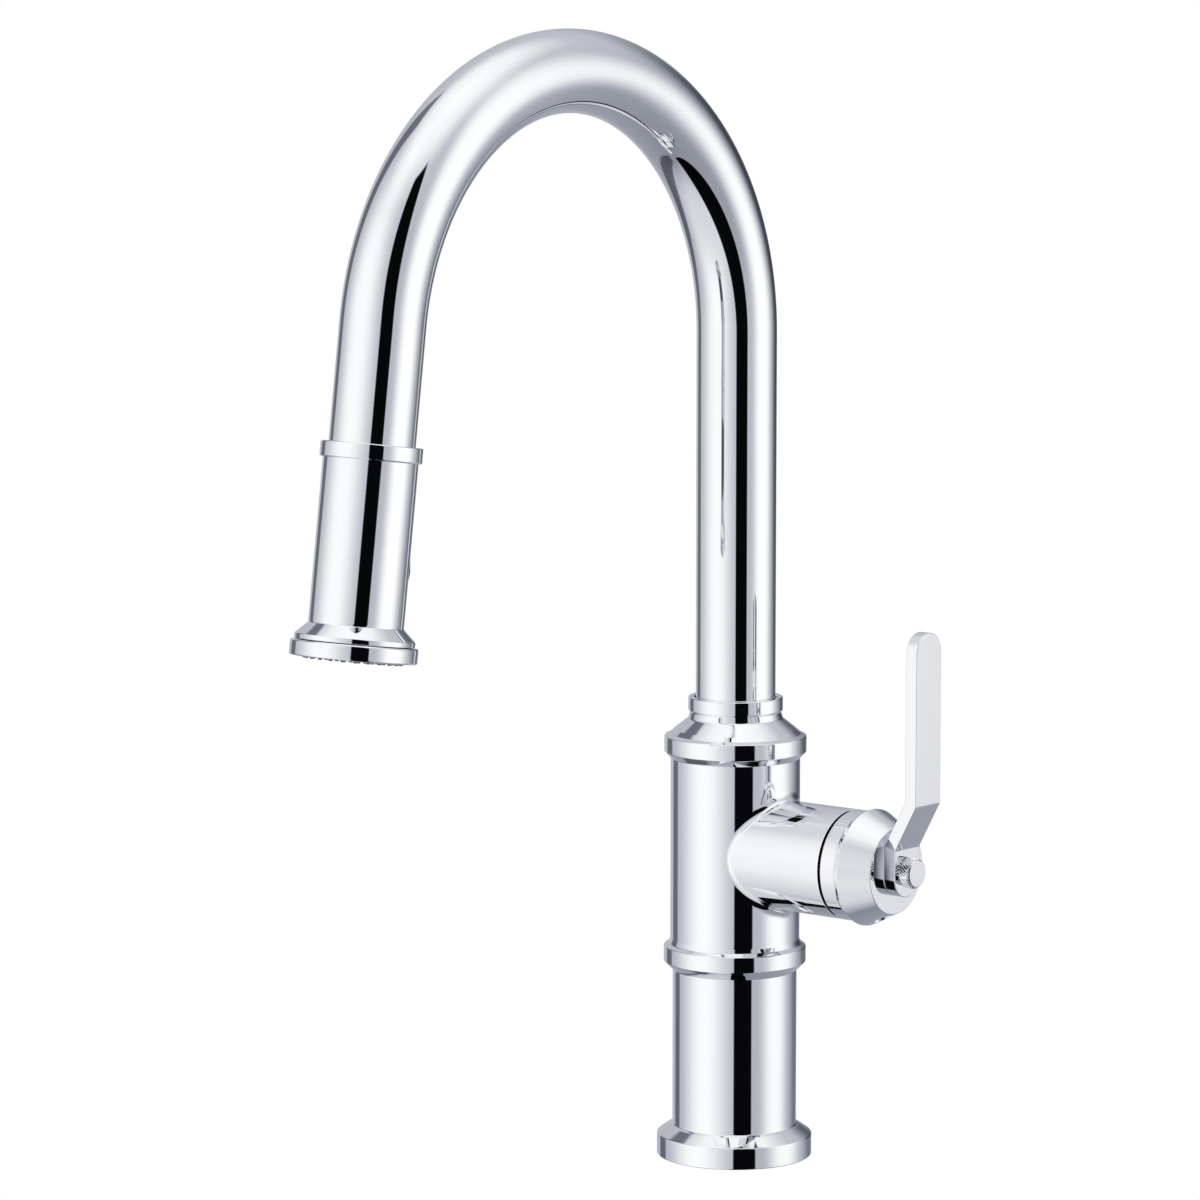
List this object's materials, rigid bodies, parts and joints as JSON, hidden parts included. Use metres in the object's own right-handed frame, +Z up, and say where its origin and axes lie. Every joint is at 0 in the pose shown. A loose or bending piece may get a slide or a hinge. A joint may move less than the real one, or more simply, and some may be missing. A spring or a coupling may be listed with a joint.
{
  "type": "pull down kitchen faucet",
  "caption": "Tall gooseneck kitchen faucet with a pull-down spray head, side lever on a conical hub, turning spout and under-deck clamping hardware.",
  "frame": {"origin": "centre of the base's underside, on the deck's top surface, on the column's axis", "axes": "+Z up along the column; the spout reaches towards -Y; the handle stands out towards +X"},
  "size_m": [0.1111, 0.2455, 0.4914],
  "materials": {
    "chrome_plated_brass": "mirror polished chromium plate",
    "chrome_plated_zinc": "mirror polished chromium plate",
    "chrome_plated_abs": "mirror polished chromium plate on moulded ABS",
    "brass": "machined",
    "copper": "drawn copper tube",
    "rubber": "moulded nitrile",
    "silicone": "moulded silicone",
    "acetal": "moulded acetal",
    "grey_plastic": "fine moulded texture",
    "stainless_steel": "machined",
    "magnet": "nickel plated",
    "braided_nylon": "braided nylon sleeve"
  },
  "bodies": {
    "column": {"base_column": "chrome_plated_brass", "valve_housing": "chrome_plated_brass", "spout_bonnet": "chrome_plated_brass", "swivel_socket": "brass", "inlet_manifold": "brass", "valve_block": "brass", "hot_riser": "copper", "mixed_riser": "copper", "cold_riser": "copper", "cartridge_sleeve": "acetal", "cartridge_seals": "rubber", "cartridge_clip": "stainless_steel", "stem_bush": "acetal", "pivot_retainer": "brass", "lower_bush": "acetal", "upper_bush": "acetal", "shank": "brass", "base_seal": "rubber", "deck_rubber_washer": "rubber", "deck_steel_washer": "stainless_steel", "mounting_nut": "brass", "jack_screws": "stainless_steel"},
    "spout": {"spout_tube": "chrome_plated_brass", "swivel_spigot": "brass", "spigot_clip": "stainless_steel", "friction_o_ring": "rubber", "outlet_guide": "acetal", "dock_magnet": "magnet", "spray_hose": "braided_nylon", "hose_end_fitting": "brass"},
    "spray_head": {"docking_collar": "chrome_plated_brass", "keeper_ring": "stainless_steel", "head_shell": "chrome_plated_abs", "face_ring": "chrome_plated_brass", "spray_face": "grey_plastic", "spray_nozzles": "silicone", "aerator": "grey_plastic", "diverter_body": "acetal", "check_valve": "acetal", "hose_connector": "brass", "rocker_pin": "stainless_steel", "rocker_cradle": "acetal"},
    "rocker": {"rocker_button": "chrome_plated_abs"},
    "handle_carrier": {"carrier_ring": "chrome_plated_zinc", "hinge_pin": "stainless_steel"},
    "spindle": {"spindle": "brass", "spindle_seals": "rubber", "cross_pin": "stainless_steel"},
    "handle": {"handle_hub": "chrome_plated_zinc", "hub_set_screw": "stainless_steel", "screw_plug": "chrome_plated_abs", "lever": "chrome_plated_zinc", "thumb_screw": "chrome_plated_zinc"}
  },
  "joints": [
    {"name": "spout_swivel", "type": "hinge", "parent": "column", "child": "spout", "pos_m": [0, 0, 0.15], "axis": [0, 0, 1], "range_deg": [-180, 180]},
    {"name": "spray_pull", "type": "slide", "parent": "spout", "child": "spray_head", "axis": [0, -0.1399, -0.9902], "range_m": [0, 0.4], "stiffness_N_per_m": 2.5, "springref_m": -2.6, "deforming": ["spray_hose"]},
    {"name": "rocker_tilt", "type": "hinge", "parent": "spray_head", "child": "rocker", "pos_m": [0, -0.18187, 0.23308], "axis": [1, 0, 0], "range_deg": [-2.5, 2.5]},
    {"name": "handle_turn", "type": "hinge", "parent": "column", "child": "handle_carrier", "pos_m": [0.0475, 0, 0.1096], "axis": [1, 0, 0], "range_deg": [-45, 45]},
    {"name": "handle_lift", "type": "hinge", "parent": "handle_carrier", "child": "handle", "pos_m": [0.0542, 0, 0.0932], "axis": [0, 1, 0], "range_deg": [0, 16]},
    {"name": "spindle_pull", "type": "slide", "parent": "handle_carrier", "child": "spindle", "axis": [1, 0, 0], "range_m": [0, 0.0046]}
  ],
  "couplings": [
    {"joint": "spindle_pull", "follows": "handle_lift", "m_per_rad": 0.01613}
  ]
}
